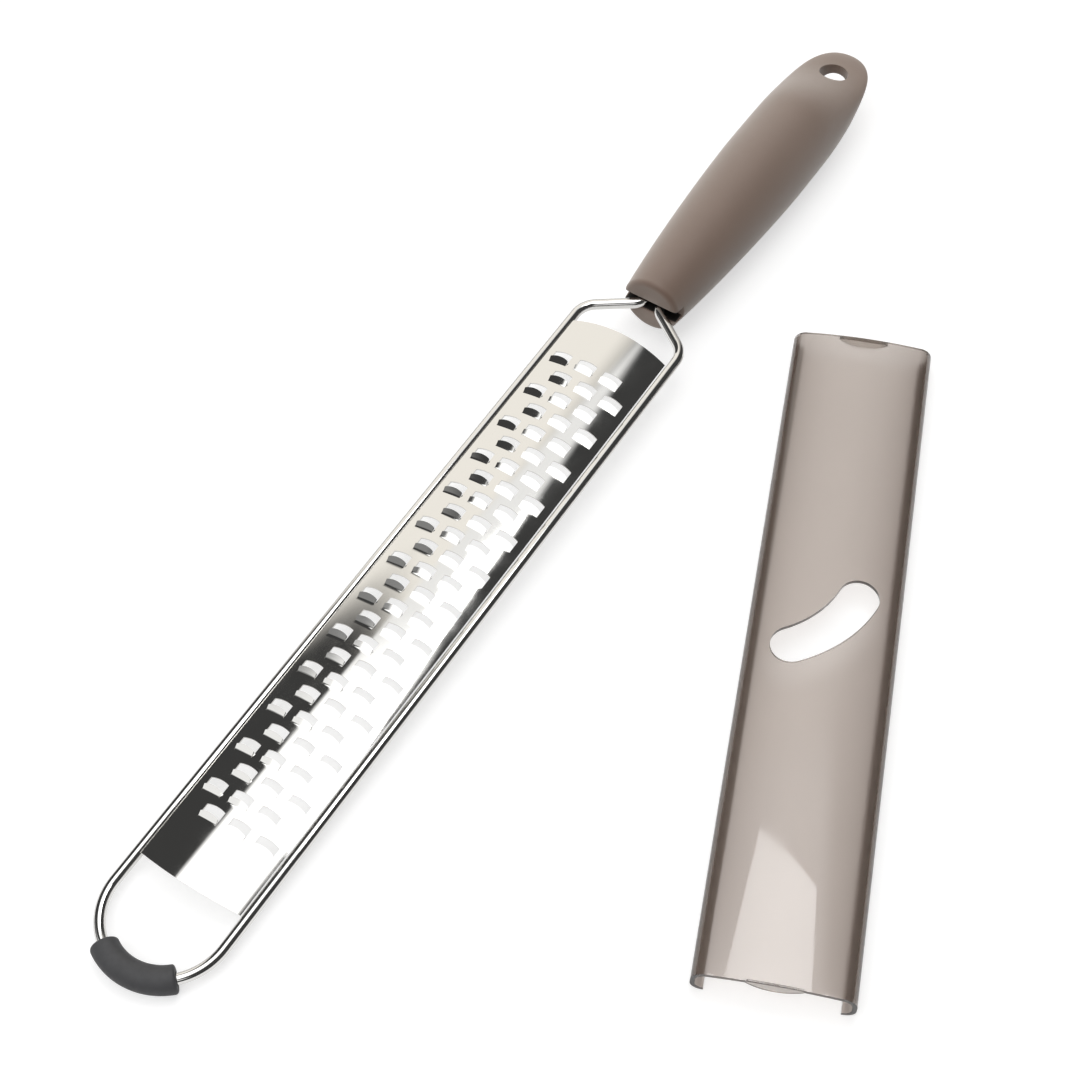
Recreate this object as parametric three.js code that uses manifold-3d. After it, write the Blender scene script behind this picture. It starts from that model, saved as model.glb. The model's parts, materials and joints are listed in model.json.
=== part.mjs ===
// Wand grater with its cover taken off. A bent wire frame carries an arched blade with rows of
// coarse teeth, its loop wears a rubber foot, and its tails run into the core of a soft handle.
// The cover lies beside it. Millimetres, +Z up: the origin is on the table under the middle of
// the loop, +Y runs along the grater to the handle, and +X points to the side of the cover.

import * as THREE from 'three';
import { mergeGeometries, mergeVertices } from 'three/addons/utils/BufferGeometryUtils.js';
import Module from 'manifold-3d';

const wasm = await Module();
wasm.setup();

const degree = Math.PI / 180;

// Fits
const seatGap = 0.3; // between pieces that touch or are moulded together
const slideGap = 0.4; // between the cover's rails and the wires that they slide on
const slotGap = 0.6; // above and below the wire in the handle's slot
const tongueGap = 0.35; // between a tooth's tongue and the sides of its hole
const toothClearance = 0.3; // between the teeth and the cover's top

// Wire frame: one wire, bent flat
const wireDiameter = 3.4;
const wireSpacing = 36.7; // between the centre lines of the two long runs
const runLength = 233; // from the centre of the round loop to the shoulder corner
const shoulderAngle = 34.6 * degree; // of the shoulders, up from straight across
const shoulderBend = 8;
const neckBend = 5;
const tailSpacing = 5.8; // between the centre lines of the two tails in the handle
const tailLength = 55; // from the neck corner into the handle
const wireSides = 12;
const loopSteps = 20;
const bendSteps = 5;

// Rubber foot on the loop
const footWall = 2; // of the sleeve round the wire
const footHalfAngle = 38 * degree; // of the loop that the foot covers, each side of its own middle
const footTurn = 7 * degree; // of the foot's middle round the loop, to the cover's side
const footPadDepth = 0.4; // sliced off the round sleeve to make the flat pad
const footSides = 12;
const footSteps = 12;

// Blade
const bladeThickness = 0.5;
const bladeSetback = 26.4; // from the loop's centre line to the blade, along the middle
const bladeHeadroom = 6.4; // from the blade to the line between the shoulder corners
const bladeEndBow = 1.5; // how far both ends bow out
const bladeCrown = 4.5; // top of the arch above the plane of the wires
const bladeSeatAngle = 50 * degree; // where the edges meet the wires, from the top inward
const bladeFacets = 10;

// Teeth: columns in half step, each tooth a hole with a tongue raised from its foot side
const columnSpacing = 4.5;
const rowPitch = 14.5;
const toothShift = 1.3; // of the middle of all the teeth from the blade's middle, to the handle
const holeWidth = 6.7;
const holeLength = 4.4;
const plainEdge = 2; // least width of sheet left outside the holes
const plainEnd = 15.5; // least length of sheet left beyond them
const tongueReach = 1.7; // over the hole
const tongueRoot = 0.5; // inside the sheet
const tongueInset = 0.08; // of the tongue's root in the sheet's thickness
const tongueRise = 1.25; // in the middle of the cutting edge
const tongueCornerRise = 0.65;
const tongueFacets = 4;

// Handle grip
const handleLength = 133.5;
const mouthRadius = 10;
const mouthRim = 2;
const bellyRadius = 14.8;
const bellyDistance = 76; // from the mouth
const neckFullness = 12.6; // half width that the neck swells towards
const neckLead = 21; // reach of the curve out of the mouth
const bellyLead = 19; // reach of the curve into the belly
const tailLead = 33.5; // reach of the curve out of the belly
const tailFullness = 14.8; // half width that the tail's round end swells towards
const topStart = 41.7; // from the end of the tail to where its top starts to sink
const underStart = 27; // from the end of the tail to where its underside starts to rise
const thinEnd = 6.1; // from the end of the tail to where it is thinnest
const tailPress = 0.155; // thickness of the thin tail over its width
const tailLift = 3.2; // of the thin tail over the handle's axis
const hangHoleDiameter = 10;
const hangHoleInset = 13.2; // from the end of the tail to the hole's centre
const handleSides = 28;
const handleSteps = 10; // along each curve of the handle's side

// Slot in the mouth and core inside the grip
const slotDepth = 4;
const gripWall = 3;
const coreEnd = 8; // of the core past the ends of the wire's tails

// Cover
const coverWall = 1.3;
const coverCrownBow = 1; // of the top, from the shoulders to the middle
const coverShoulder = 4.4; // outer radius
const hookAngle = 96 * degree; // of the curl under the wire, from the outer side
const tabWidth = 16;
const tabDepth = 3;
const tabThickness = 0.9;
const windowSpan = 26; // between the centres of the window's two round ends
const windowWidth = 12;
const windowBow = 2.4;
const windowTurn = 48 * degree; // of the window's length, from straight across
const windowOffset = 2.8; // of the window's middle, along the cover from its centre
const coverPlace = new THREE.Vector2(103.5, 188.1); // of the cover's centre on the table
const coverYaw = 22.1 * degree;
const arcSteps = 6;

// Sizes that follow
const wireRadius = wireDiameter / 2;
const halfSpacing = wireSpacing / 2;
const shoulderY = halfSpacing + runLength;
const neckY = shoulderY + (halfSpacing - tailSpacing / 2) * Math.tan(shoulderAngle);
const footRadius = wireRadius + seatGap + footWall;
const footCentre = footRadius - footPadDepth;
const framePitch = Math.asin((bellyRadius - footCentre) / neckY);
const mouthY = neckY * Math.cos(framePitch);
const bladeSeat = wireRadius + seatGap;
const bladeHalfWidth = halfSpacing - bladeSeat * Math.sin(bladeSeatAngle);
const bladeEdge = bladeSeat * Math.cos(bladeSeatAngle) + bladeThickness / 2;
const bladeRadius = arcRadius(bladeHalfWidth, bladeCrown - bladeEdge);
const bladeLength = shoulderY - bladeSetback - bladeHeadroom;
const bladeMiddle = bladeSetback + bladeLength / 2;
const toothColumns = Math.floor((2 * (bladeHalfWidth - plainEdge) - holeWidth) / columnSpacing) + 1;
const toothRows = Math.floor((bladeLength - 2 * plainEnd - holeLength) / rowPitch + 0.5);
const tongueWidth = holeWidth - 2 * tongueGap;
const tongueThickness = bladeThickness - 2 * tongueInset;
const slotHeight = wireDiameter + 2 * slotGap;
const railRadius = wireRadius + slideGap + coverWall;
const railCentre = railRadius;
const coverTop = railCentre + bladeCrown + tongueRise + toothClearance + coverWall;
const shoulderX = halfSpacing + railRadius - coverShoulder;

const plastic = { roughness: 0.6, metalness: 0 };
const steel = { color: 0xd8d8d6, roughness: 0.12, metalness: 1 };

// Radius of an arc with this half chord and this rise
function arcRadius(halfChord, rise) {
  return (halfChord ** 2 + rise ** 2) / (2 * rise);
}

// Closed geometry to solid, with shared vertices merged and empty triangles left out
function solidOf(geometry) {
  const bare = new THREE.BufferGeometry();
  bare.setAttribute('position', geometry.getAttribute('position').clone());
  if (geometry.index) bare.setIndex(geometry.index.clone());
  const merged = mergeVertices(bare);
  const corners = merged.index.array;
  const kept = [];
  for (let i = 0; i < corners.length; i += 3) {
    const [a, b, c] = corners.slice(i, i + 3);
    if (a !== b && b !== c && c !== a) kept.push(a, b, c);
  }
  return new wasm.Manifold(new wasm.Mesh({
    numProp: 3,
    vertProperties: new Float32Array(merged.getAttribute('position').array),
    triVerts: new Uint32Array(kept),
  }));
}

// Solid back to geometry
function geometryOf(solid) {
  const mesh = solid.getMesh();
  const geometry = new THREE.BufferGeometry();
  geometry.setAttribute('position', new THREE.BufferAttribute(new Float32Array(mesh.vertProperties), 3));
  geometry.setIndex(new THREE.BufferAttribute(new Uint32Array(mesh.triVerts), 1));
  geometry.computeVertexNormals();
  return geometry;
}

function piece(name, solid, material) {
  const mesh = new THREE.Mesh(geometryOf(solid), new THREE.MeshStandardMaterial(material));
  mesh.name = name;
  return mesh;
}

// Outline in X and Z, extruded along Y and centred on it
function alongY(shape, length, curveSegments = arcSteps) {
  const geometry = new THREE.ExtrudeGeometry(shape, { depth: length, bevelEnabled: false, curveSegments });
  return geometry.translate(0, 0, -length / 2).rotateX(90 * degree);
}

// Outline in X and Y, extruded along Z and centred on it
function alongZ(shape, height, curveSegments = arcSteps) {
  const geometry = new THREE.ExtrudeGeometry(shape, { depth: height, bevelEnabled: false, curveSegments });
  return geometry.translate(0, 0, -height / 2);
}

// Path through given stations, one sweep step to each stretch
class StationPath extends THREE.Curve {
  constructor(stations) {
    super();
    this.stations = stations;
  }

  getPoint(t, target = new THREE.Vector3()) {
    const place = Math.min(Math.max(t, 0), 1) * (this.stations.length - 1);
    const first = Math.min(Math.floor(place), this.stations.length - 2);
    return target.lerpVectors(this.stations[first], this.stations[first + 1], place - first);
  }

  getUtoTmapping(u) {
    return u;
  }
}

function sweep(stations, radius, sides) {
  const section = new THREE.Shape().absarc(0, 0, radius, 0, 2 * Math.PI);
  return new THREE.ExtrudeGeometry(section, {
    steps: stations.length - 1,
    curveSegments: sides / 2,
    extrudePath: new StationPath(stations),
  });
}

// Stations of a bend of this radius where two straight stretches meet at a corner
function bend(before, corner, after, radius) {
  const back = before.clone().sub(corner).normalize();
  const ahead = after.clone().sub(corner).normalize();
  const halfOpen = back.angleTo(ahead) / 2;
  const toCentre = back.clone().add(ahead).normalize();
  const centre = corner.clone().addScaledVector(toCentre, radius / Math.sin(halfOpen));
  const start = corner.clone().addScaledVector(back, radius / Math.tan(halfOpen)).sub(centre);
  const end = corner.clone().addScaledVector(ahead, radius / Math.tan(halfOpen)).sub(centre);
  const turn = start.angleTo(end);
  const axis = new THREE.Vector3().crossVectors(start, end).normalize();
  const stations = [];
  for (let i = 0; i <= bendSteps; i += 1) {
    stations.push(start.clone().applyAxisAngle(axis, (turn * i) / bendSteps).add(centre));
  }
  return stations;
}

// Stations of the loop's arc, out to an angle each side of its middle or of a turn from there
function loopArc(halfAngle, steps, turn = 0) {
  const stations = [];
  for (let i = 0; i <= steps; i += 1) {
    const angle = turn + halfAngle * ((2 * i) / steps - 1);
    stations.push(new THREE.Vector3(halfSpacing * Math.sin(angle), halfSpacing * (1 - Math.cos(angle)), 0));
  }
  return stations;
}

// Wire frame, flat, from the left tail round the loop to the right tail
function wireSolid(growth = 0, tailGrowth = 0) {
  const tailEnd = new THREE.Vector3(tailSpacing / 2, neckY + tailLength + tailGrowth, 0);
  const neck = new THREE.Vector3(tailSpacing / 2, neckY, 0);
  const shoulder = new THREE.Vector3(halfSpacing, shoulderY, 0);
  const runStart = new THREE.Vector3(halfSpacing, halfSpacing, 0);
  const rightSide = [
    ...bend(runStart, shoulder, neck, shoulderBend),
    ...bend(shoulder, neck, tailEnd, neckBend),
    tailEnd,
  ];
  const leftSide = rightSide.map((point) => new THREE.Vector3(-point.x, point.y, 0)).reverse();
  const stations = [...leftSide, ...loopArc(90 * degree, loopSteps), ...rightSide];
  return solidOf(sweep(stations, wireRadius + growth, wireSides));
}

// Rubber sleeve round the middle of the loop, with a flat pad on the table
function footSolid(frameMatrix) {
  const sleeve = solidOf(sweep(loopArc(footHalfAngle, footSteps, footTurn), footRadius, footSides));
  const table = new THREE.BoxGeometry(2 * wireSpacing, 2 * wireSpacing, 2 * footRadius);
  table.translate(0, 0, -footRadius).applyMatrix4(frameMatrix.clone().invert());
  return sleeve.subtract(wireSolid(seatGap)).subtract(solidOf(table));
}

// Arched sheet with bowed ends
function bladeSheet() {
  const half = Math.asin(bladeHalfWidth / bladeRadius);
  const centre = bladeCrown - bladeRadius;
  const section = new THREE.Shape();
  section.absarc(0, centre, bladeRadius, 90 * degree - half, 90 * degree + half, false);
  section.absarc(0, centre, bladeRadius - bladeThickness, 90 * degree + half, 90 * degree - half, true);
  const arch = alongY(section, bladeLength + bladeEndBow, bladeFacets / 2);
  const endRadius = arcRadius(bladeHalfWidth, bladeEndBow);
  const endHalf = Math.asin((bladeHalfWidth + bladeThickness) / endRadius);
  const endCentre = bladeLength / 2 - endRadius;
  const plan = new THREE.Shape();
  plan.absarc(0, endCentre, endRadius, 90 * degree - endHalf, 90 * degree + endHalf, false);
  plan.absarc(0, -endCentre, endRadius, -90 * degree - endHalf, -90 * degree + endHalf, false);
  const trim = alongZ(plan, 4 * bladeCrown);
  return solidOf(arch.translate(0, bladeMiddle, 0)).intersect(solidOf(trim.translate(0, bladeMiddle, 0)));
}

// Place of every tooth: the middle of its hole on the sheet, turned with the arch
function toothPlaces() {
  const places = [];
  for (let column = 0; column < toothColumns; column += 1) {
    const x = (column - (toothColumns - 1) / 2) * columnSpacing;
    const lean = Math.asin(x / bladeRadius);
    const shift = column % 2 === 0 ? 0.25 : -0.25;
    for (let row = 0; row < toothRows; row += 1) {
      const y = bladeMiddle + toothShift + ((toothRows - 1) / 2 - row + shift) * rowPitch;
      const z = bladeCrown - bladeRadius * (1 - Math.cos(lean));
      places.push(new THREE.Matrix4().makeRotationY(lean).setPosition(x, y, z));
    }
  }
  return places;
}

// Tongue rising from the foot side of its hole to an arched cutting edge
function tongueGeometry() {
  const length = tongueRoot + tongueReach;
  const geometry = new THREE.BoxGeometry(tongueWidth, length, tongueThickness, tongueFacets, 1, 1);
  geometry.translate(0, length / 2, 0);
  const position = geometry.getAttribute('position');
  for (let i = 0; i < position.count; i += 1) {
    const fromMiddle = (2 * position.getX(i)) / tongueWidth;
    const rise = tongueRise + (tongueCornerRise - tongueRise) * fromMiddle ** 2;
    position.setZ(i, position.getZ(i) + (rise * position.getY(i)) / length);
  }
  return geometry.translate(0, -holeLength / 2 - tongueRoot, -bladeThickness / 2);
}

function bladeSolid() {
  const hole = new THREE.BoxGeometry(holeWidth, holeLength, 2 * bladeCrown);
  const tongue = tongueGeometry();
  const places = toothPlaces();
  const holes = mergeGeometries(places.map((place) => hole.clone().applyMatrix4(place)));
  const tongues = mergeGeometries(places.map((place) => tongue.clone().applyMatrix4(place)));
  return bladeSheet().subtract(solidOf(holes)).add(solidOf(tongues));
}

// Side of the handle from above, from the middle of the mouth to the end of the tail
function handleOutline() {
  const side = new THREE.Path();
  side.moveTo(0, 0);
  side.lineTo(mouthRadius - mouthRim, 0);
  side.quadraticCurveTo(mouthRadius, 0, mouthRadius, mouthRim);
  side.bezierCurveTo(
    neckFullness, mouthRim + neckLead, bellyRadius, bellyDistance - bellyLead, bellyRadius, bellyDistance,
  );
  side.bezierCurveTo(
    bellyRadius, bellyDistance + tailLead, tailFullness, handleLength, 0, handleLength,
  );
  return side.getPoints(handleSteps);
}

// Handle's outer body: the outline turned round the axis, then pressed thin towards the tail
function handleBody() {
  const geometry = new THREE.LatheGeometry(handleOutline(), handleSides);
  const position = geometry.getAttribute('position');
  for (let i = 0; i < position.count; i += 1) {
    const fromEnd = handleLength - position.getY(i);
    const sink = 1 - THREE.MathUtils.smoothstep(fromEnd, thinEnd, topStart);
    const rise = 1 - THREE.MathUtils.smoothstep(fromEnd, thinEnd, underStart);
    const z = position.getZ(i);
    const thickness = 1 + (tailPress - 1) * (z > 0 ? sink : rise);
    position.setZ(i, z * thickness + tailLift * sink);
  }
  return solidOf(geometry);
}

// Tapered core that is moulded round the wire's tails, grown by a gap for its seat in the grip
function corePlug(growth = 0) {
  const front = slotDepth + seatGap - growth;
  const back = tailLength + coreEnd + growth;
  const outline = [
    new THREE.Vector2(0, front),
    new THREE.Vector2(mouthRadius - gripWall + growth, front),
    new THREE.Vector2(bellyRadius - gripWall + growth, back),
    new THREE.Vector2(0, back),
  ];
  return solidOf(new THREE.LatheGeometry(outline, handleSides));
}

function gripSolid() {
  const slot = new THREE.BoxGeometry(4 * mouthRadius, 2 * slotDepth, slotHeight);
  const hole = new THREE.CylinderGeometry(
    hangHoleDiameter / 2, hangHoleDiameter / 2, 4 * bellyRadius, handleSides,
  );
  hole.rotateX(90 * degree).translate(0, handleLength - hangHoleInset, 0);
  return handleBody().subtract(corePlug(seatGap)).subtract(solidOf(slot)).subtract(solidOf(hole));
}

function coreSolid(wireInHandle) {
  const tails = wireSolid(seatGap, seatGap);
  return corePlug().subtract(tails.transform(wireInHandle.elements));
}

// Right half of the cover's section, from the middle of its top to the tip of its hook
function coverSide(depth) {
  const crownRadius = arcRadius(shoulderX, coverCrownBow);
  const crownHalf = Math.asin(shoulderX / crownRadius);
  const shoulderStart = 90 * degree - crownHalf;
  const shoulderZ = coverTop - coverCrownBow - coverShoulder * Math.cos(crownHalf);
  const sideX = halfSpacing + railRadius;
  const side = new THREE.Path();
  side.absarc(0, coverTop - crownRadius, crownRadius - depth, 90 * degree, shoulderStart, true);
  side.absarc(sideX - coverShoulder, shoulderZ, coverShoulder - depth, shoulderStart, 0, true);
  side.absarc(halfSpacing, railCentre, railRadius - depth, 0, -hookAngle, true);
  return side.getPoints(arcSteps);
}

function coverSection() {
  const mirrored = (point) => new THREE.Vector2(-point.x, point.y);
  const outer = coverSide(0);
  const inner = coverSide(coverWall);
  return new THREE.Shape([
    ...outer,
    ...inner.slice().reverse(),
    ...inner.slice(1).map(mirrored),
    ...outer.slice(1).reverse().map(mirrored),
  ]);
}

// Curved slot with round ends, lying along X and bowed towards -Y
function windowShape() {
  const bowRadius = arcRadius(windowSpan / 2, windowBow);
  const half = Math.asin(windowSpan / 2 / bowRadius);
  const centre = bowRadius - windowBow;
  const down = -90 * degree;
  const shape = new THREE.Shape();
  shape.absarc(0, centre, bowRadius + windowWidth / 2, down - half, down + half, false);
  shape.absarc(windowSpan / 2, 0, windowWidth / 2, down + half, down + half + Math.PI, false);
  shape.absarc(0, centre, bowRadius - windowWidth / 2, down + half, down - half, true);
  shape.absarc(-windowSpan / 2, 0, windowWidth / 2, Math.PI + down - half, 2 * Math.PI + down - half, false);
  return shape;
}

// Tab under the middle of one end, straight along its top and round below
function tabGeometry() {
  const tabRadius = arcRadius(tabWidth / 2, tabDepth);
  const half = Math.asin(tabWidth / 2 / tabRadius);
  const root = coverTop - coverWall;
  const shape = new THREE.Shape();
  shape.absarc(0, root - tabDepth + tabRadius, tabRadius, -90 * degree - half, -90 * degree + half, false);
  shape.lineTo(tabWidth / 2, root + coverWall / 2);
  shape.lineTo(-tabWidth / 2, root + coverWall / 2);
  return alongY(shape, tabThickness);
}

function coverSolid() {
  const tabY = bladeLength / 2 + seatGap + tabThickness / 2;
  const length = bladeLength + 2 * (seatGap + tabThickness);
  const window = alongZ(windowShape(), 4 * coverTop).rotateZ(windowTurn).translate(0, windowOffset, 0);
  const tabs = mergeGeometries([
    tabGeometry().translate(0, tabY, 0),
    tabGeometry().translate(0, -tabY, 0),
  ]);
  return solidOf(alongY(coverSection(), length)).subtract(solidOf(window)).add(solidOf(tabs));
}

// Assembly
const grater = new THREE.Group();

const frame = new THREE.Group();
frame.position.set(0, 0, footCentre);
frame.rotation.x = framePitch;
frame.updateMatrix();

const handle = new THREE.Group();
handle.position.set(0, mouthY, bellyRadius);
handle.updateMatrix();
const wireInHandle = handle.matrix.clone().invert().multiply(frame.matrix);

const cover = new THREE.Group();
cover.position.set(coverPlace.x, coverPlace.y, 0);
cover.rotation.z = coverYaw;

frame.add(piece('wire_frame', wireSolid(), steel));
frame.add(piece('blade', bladeSolid(), steel));
frame.add(piece('end_foot', footSolid(frame.matrix), { color: 0x4a4a4c, ...plastic }));
handle.add(piece('handle_grip', gripSolid(), { color: 0x8a7c72, ...plastic }));
handle.add(piece('handle_core', coreSolid(wireInHandle), { color: 0x1b1917, ...plastic }));
cover.add(piece('cover', coverSolid(), { color: 0xb8aca2, roughness: 0.2, metalness: 0 }));
grater.add(frame, handle, cover);

export default grater;
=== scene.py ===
"""Looks of a wand grater and its slide-on cover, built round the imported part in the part's own frame."""

import json
import math

import bmesh
import bpy
from mathutils import Matrix, Vector

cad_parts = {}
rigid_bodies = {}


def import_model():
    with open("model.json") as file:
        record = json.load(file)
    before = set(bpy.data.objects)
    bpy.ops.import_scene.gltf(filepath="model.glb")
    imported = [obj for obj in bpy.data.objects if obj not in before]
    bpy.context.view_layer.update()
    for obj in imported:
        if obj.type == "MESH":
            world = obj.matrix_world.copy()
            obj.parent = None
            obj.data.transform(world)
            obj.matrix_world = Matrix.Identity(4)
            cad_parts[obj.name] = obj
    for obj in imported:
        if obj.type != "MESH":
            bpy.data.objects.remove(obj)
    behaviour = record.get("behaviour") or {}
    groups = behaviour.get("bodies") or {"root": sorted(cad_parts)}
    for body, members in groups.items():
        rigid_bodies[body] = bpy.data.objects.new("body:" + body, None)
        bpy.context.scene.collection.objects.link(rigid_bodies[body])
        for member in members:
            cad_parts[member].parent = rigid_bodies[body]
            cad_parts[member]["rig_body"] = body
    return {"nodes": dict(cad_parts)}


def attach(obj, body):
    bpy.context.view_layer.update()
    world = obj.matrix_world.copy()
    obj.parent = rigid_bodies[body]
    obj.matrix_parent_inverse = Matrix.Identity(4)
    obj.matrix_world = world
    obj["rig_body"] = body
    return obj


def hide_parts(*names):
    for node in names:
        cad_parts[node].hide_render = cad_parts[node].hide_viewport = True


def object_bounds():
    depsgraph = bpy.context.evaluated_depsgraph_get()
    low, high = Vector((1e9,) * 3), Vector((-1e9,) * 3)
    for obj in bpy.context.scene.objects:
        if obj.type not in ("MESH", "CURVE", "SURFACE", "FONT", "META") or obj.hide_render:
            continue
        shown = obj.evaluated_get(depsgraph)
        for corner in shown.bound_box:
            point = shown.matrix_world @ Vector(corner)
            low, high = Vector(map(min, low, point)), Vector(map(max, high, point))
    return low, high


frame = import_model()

bl_info = {
    "name": "Wand grater",
    "version": (1, 0, 0),
    "blender": (4, 5, 0),
    "location": "3D View > Sidebar > Grater",
    "description": "Dresses a wand grater and its cover in finished shapes and materials",
    "category": "Object",
}

CAD_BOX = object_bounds()
MM = 0.001
SEAT_GAP = 0.3 * MM  # between pieces that touch
PHOTO_SIDE = 1080  # pixels along each side of the photograph
SENSOR = 36.0  # millimetres


def linear(code):
    """An sRGB hex colour as linear red, green, blue and alpha."""
    parts = [int(code[i:i + 2], 16) / 255 for i in (0, 2, 4)]
    return (*[c / 12.92 if c <= 0.04045 else ((c + 0.055) / 1.055) ** 2.4 for c in parts], 1.0)


def size(name, description, millimetres):
    return bpy.props.FloatProperty(
        name=name, description=description, default=millimetres * MM, precision=5, unit="LENGTH", subtype="DISTANCE"
    )


def turn(name, description, degrees):
    return bpy.props.FloatProperty(
        name=name, description=description, default=math.radians(degrees), unit="ROTATION", subtype="ANGLE"
    )


def colour(name, description, code):
    return bpy.props.FloatVectorProperty(
        name=name, description=description, default=linear(code), size=4, min=0, max=1, subtype="COLOR"
    )


def number(name, description, value):
    return bpy.props.FloatProperty(name=name, description=description, default=value)


def count(name, description, value):
    return bpy.props.IntProperty(name=name, description=description, default=value, min=1)


class WireSettings(bpy.types.PropertyGroup):
    diameter: size("Diameter", "Of the round wire", 3.4)
    spacing: size("Spacing", "Between the centre lines of the two long runs", 36.7)
    run_length: size("Run length", "From the centre of the round loop to the shoulder corner", 233)
    shoulder_angle: turn("Shoulder angle", "Of the shoulders, up from straight across", 34.6)
    shoulder_bend: size("Shoulder bend", "Radius of the bend between run and shoulder", 8)
    neck_bend: size("Neck bend", "Radius of the bend between shoulder and tail", 5)
    tail_spacing: size("Tail spacing", "Between the centre lines of the tails", 5.8)
    tail_length: size("Tail length", "From the neck corner into the handle", 55)
    colour: colour("Steel", "Reflected colour of the wire", "DAD9D7")


class FootSettings(bpy.types.PropertyGroup):
    wall: size("Wall", "Of the sleeve round the wire", 2)
    half_angle: turn("Half angle", "Of the loop that the foot covers, each side of its middle", 38)
    middle_turn: turn("Turn", "Of the foot's middle round the loop", 7)
    pad_depth: size("Pad depth", "Taken off the round sleeve by the flat pad", 0.4)
    lip: size("Lip radius", "Of the rounded edges at both ends", 0.9)
    colour: colour("Rubber", "Colour of the foot", "464648")


class BladeSettings(bpy.types.PropertyGroup):
    thickness: size("Thickness", "Of the sheet", 0.5)
    setback: size("Setback", "From the loop's centre line to the blade", 26.4)
    headroom: size("Headroom", "From the blade to the line between the shoulder corners", 6.4)
    end_bow: size("End bow", "How far both ends bow out", 1.5)
    crown: size("Crown", "Top of the arch above the plane of the wires", 4.5)
    seat_angle: turn("Seat angle", "Where the edges meet the wires, from the top inward", 50)
    columns: count("Columns", "Of teeth across the blade", 6)
    rows: count("Rows", "Of teeth in each column", 13)
    column_spacing: size("Column spacing", "Between neighbouring columns", 4.5)
    row_pitch: size("Row pitch", "Between the teeth of one column", 14.5)
    tooth_shift: size("Tooth shift", "Of the middle of all the teeth from the blade's middle, to the handle", 1.3)
    hole_width: size("Hole width", "Of the hole under each tooth", 6.3)
    hinge: size("Hinge", "From the middle of a hole to the tooth's hinge line", 2.35)
    far_corner: size("Far corner", "From the middle of a hole to its far corners", 2.1)
    far_middle: size("Far middle", "From the middle of a hole to the middle of its far edge", 2.6)
    reach: size("Reach", "Of the middle of the cutting edge from the hinge line", 2.2)
    corner_reach: size("Corner reach", "Of the cutting edge's corners from the hinge line", 1.65)
    rise: size("Rise", "Of the middle of the cutting edge over the sheet", 1.1)
    bend: size("Bend", "Length of the bend from the hinge line on", 0.35)
    slit: size("Slit", "Between a tooth and the sides of its hole", 0.12)
    tooth_room: size("Tooth room", "Height that the cover leaves for the teeth over the sheet", 1.25)
    colour: colour("Steel", "Reflected colour of the sheet", "D9D8D5")


class HandleSettings(bpy.types.PropertyGroup):
    length: size("Length", "From the mouth to the end of the tail", 133.5)
    mouth_radius: size("Mouth radius", "Of the open end", 10)
    mouth_rim: size("Mouth rim", "Of the rounding round the mouth", 2)
    belly_radius: size("Belly radius", "At the thickest place", 14.8)
    belly_distance: size("Belly distance", "From the mouth to the thickest place", 76)
    neck_fullness: size("Neck fullness", "Half width that the neck swells towards", 12.6)
    neck_lead: size("Neck lead", "Reach of the curve out of the mouth", 21)
    belly_lead: size("Belly lead", "Reach of the curve into the belly", 19)
    tail_lead: size("Tail lead", "Reach of the curve out of the belly", 33.5)
    tail_fullness: size("Tail fullness", "Half width that the tail's end swells towards", 14.8)
    top_start: size("Top start", "From the end of the tail to where its top starts to sink", 41.7)
    under_start: size("Under start", "From the end of the tail to where its underside starts to rise", 27)
    thin_end: size("Thin end", "From the end of the tail to where it is thinnest", 6.1)
    tail_press: number("Tail press", "Thickness of the thin tail over its width", 0.155)
    tail_lift: size("Tail lift", "Of the thin tail over the handle's axis", 3.2)
    hole_diameter: size("Hang hole", "Diameter of the hole in the tail", 10)
    hole_inset: size("Hole inset", "From the end of the tail to the hole's centre", 13.2)
    slot_depth: size("Slot depth", "Of the slot across the mouth", 4)
    slot_height: size("Slot height", "Of the slot across the mouth", 4.6)
    grip_wall: size("Grip wall", "Of the soft grip round the core", 3)
    core_end: size("Core end", "Of the core past the ends of the wire", 8)
    edge: size("Edge", "Rounding of the cut edges", 0.35)
    colour: colour("Grip", "Colour of the soft grip", "725D50")
    core_colour: colour("Core", "Colour of the hard core", "191715")


class CoverSettings(bpy.types.PropertyGroup):
    wall: size("Wall", "Of the moulding", 1.3)
    crown_bow: size("Crown bow", "Of the top, from the shoulders to the middle", 1)
    shoulder: size("Shoulder", "Outer radius of the shoulders", 4.4)
    slide_gap: size("Slide gap", "Between the rails and the wires that they slide on", 0.4)
    tooth_clearance: size("Tooth clearance", "Between the teeth and the top", 0.3)
    hook_angle: turn("Hook angle", "Of the curl under the wire", 96)
    tab_width: size("Tab width", "Of the stop at each end", 16)
    tab_depth: size("Tab depth", "Of the stop at each end", 3)
    tab_thickness: size("Tab thickness", "Of the stop at each end", 0.9)
    window_span: size("Window span", "Between the centres of the window's round ends", 26)
    window_width: size("Window width", "Of the curved window", 12)
    window_bow: size("Window bow", "Of the curved window", 2.4)
    window_turn: turn("Window turn", "Of the window's length, from straight across", 48)
    window_offset: size("Window offset", "Of the window along the cover", 2.8)
    place_x: size("Place X", "Of the cover's centre on the table", 103.5)
    place_y: size("Place Y", "Of the cover's centre on the table", 188.1)
    yaw: turn("Yaw", "Of the cover on the table", 22.1)
    edge: size("Edge", "Rounding of the moulded edges", 0.15)
    colour: colour("Smoke", "Tint that the plastic gives to the light", "A7917D")
    # painted shade, with thicker plastic: further tint that darkens the cover towards its sides
    side_tint_and_painted_shade: colour("Side smoke", "Further tint at the sides", "D4D0CE")
    density: number("Density", "Light taken up for each metre of plastic", 610)


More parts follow.
